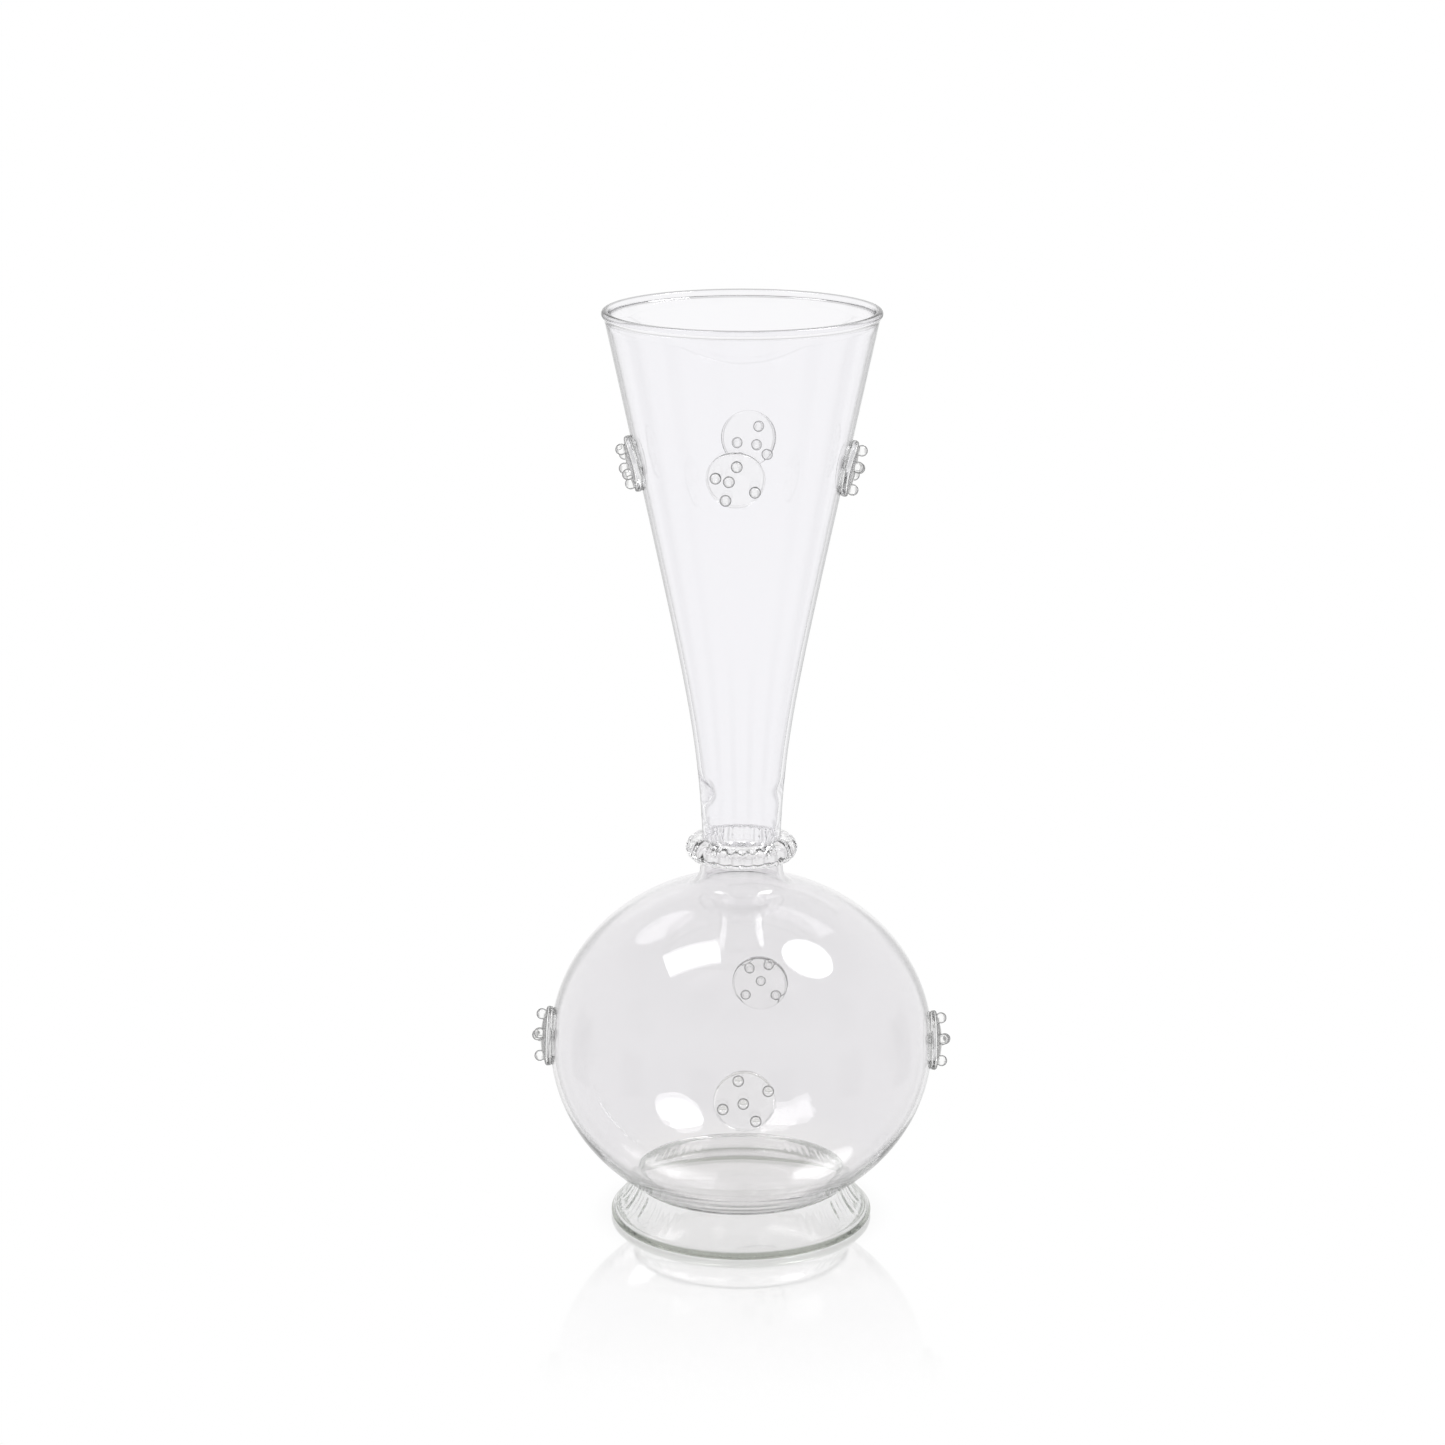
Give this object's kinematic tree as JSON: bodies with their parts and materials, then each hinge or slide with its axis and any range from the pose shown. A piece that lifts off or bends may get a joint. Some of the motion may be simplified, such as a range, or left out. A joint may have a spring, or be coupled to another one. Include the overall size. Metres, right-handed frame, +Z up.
{
  "type": "bud vase",
  "caption": "Clear blown-glass bud vase: round bowl on a flared foot, tall trumpet neck, ribbed collar and applied prunts with glass drops.",
  "frame": {"origin": "centre of the plane that the foot rests on, on the vase's axis", "axes": "+Z up along the vase's axis to the mouth; -Y is the side with the front prunts; +X is to the right of someone who looks at that side"},
  "size_m": [0.1206, 0.1201, 0.265],
  "materials": {
    "blown_glass": "clear, fire-polished",
    "applied_glass": "clear, fire-polished, thick"
  },
  "bodies": {
    "root": {"trumpet_neck": "blown_glass", "bowl_body": "blown_glass", "neck_collar": "applied_glass", "foot_ring": "applied_glass", "neck_front_pad": "applied_glass", "neck_front_drop_1": "applied_glass", "neck_front_drop_2": "applied_glass", "neck_front_drop_3": "applied_glass", "neck_front_drop_4": "applied_glass", "neck_front_drop_5": "applied_glass", "neck_back_pad": "applied_glass", "neck_back_drop_1": "applied_glass", "neck_back_drop_2": "applied_glass", "neck_back_drop_3": "applied_glass", "neck_back_drop_4": "applied_glass", "neck_back_drop_5": "applied_glass", "neck_left_pad": "applied_glass", "neck_left_drop_1": "applied_glass", "neck_left_drop_2": "applied_glass", "neck_left_drop_3": "applied_glass", "neck_left_drop_4": "applied_glass", "neck_left_drop_5": "applied_glass", "neck_right_pad": "applied_glass", "neck_right_drop_1": "applied_glass", "neck_right_drop_2": "applied_glass", "neck_right_drop_3": "applied_glass", "neck_right_drop_4": "applied_glass", "neck_right_drop_5": "applied_glass", "bowl_front_pad": "applied_glass", "bowl_front_drop_1": "applied_glass", "bowl_front_drop_2": "applied_glass", "bowl_front_drop_3": "applied_glass", "bowl_front_drop_4": "applied_glass", "bowl_front_drop_5": "applied_glass", "bowl_back_pad": "applied_glass", "bowl_back_drop_1": "applied_glass", "bowl_back_drop_2": "applied_glass", "bowl_back_drop_3": "applied_glass", "bowl_back_drop_4": "applied_glass", "bowl_back_drop_5": "applied_glass", "bowl_left_pad": "applied_glass", "bowl_left_drop_1": "applied_glass", "bowl_left_drop_2": "applied_glass", "bowl_left_drop_3": "applied_glass", "bowl_left_drop_4": "applied_glass", "bowl_left_drop_5": "applied_glass", "bowl_right_pad": "applied_glass", "bowl_right_drop_1": "applied_glass", "bowl_right_drop_2": "applied_glass", "bowl_right_drop_3": "applied_glass", "bowl_right_drop_4": "applied_glass", "bowl_right_drop_5": "applied_glass"}
  },
  "joints": []
}
